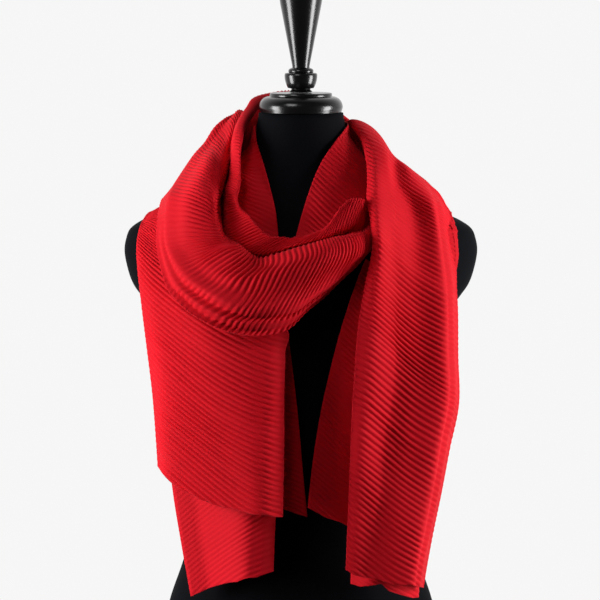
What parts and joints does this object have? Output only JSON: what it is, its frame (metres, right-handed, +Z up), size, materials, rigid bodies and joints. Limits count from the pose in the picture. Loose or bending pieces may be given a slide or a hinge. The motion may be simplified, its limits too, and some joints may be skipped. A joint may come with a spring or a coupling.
{
  "type": "pleated scarf on a dress form",
  "caption": "Crisply pleated long scarf wrapped once round the neck of a plain limbless dress form with a turned finial.",
  "frame": {"origin": "middle of the dress form's flat foot, on the surface that it stands on", "axes": "+Z up the form's axis to the finial, -Y out of the form's chest, +X to the viewer's right"},
  "size_m": [0.394, 0.294, 0.8562],
  "materials": {
    "scarf_cloth": "micro-pleated crepe with a soft sheen",
    "form_jersey": "black stretch jersey",
    "gloss_black": "glossy black lacquer"
  },
  "bodies": {
    "root": {"form_torso": "form_jersey", "neck_cap": "gloss_black", "finial": "gloss_black", "tail_left_front": "scarf_cloth", "tail_left_back": "scarf_cloth", "tail_left_inner": "scarf_cloth", "collar_wrap": "scarf_cloth", "loop_front": "scarf_cloth", "loop_back": "scarf_cloth", "tail_right_front": "scarf_cloth", "tail_right_under": "scarf_cloth", "tail_right_inner": "scarf_cloth"}
  },
  "joints": []
}
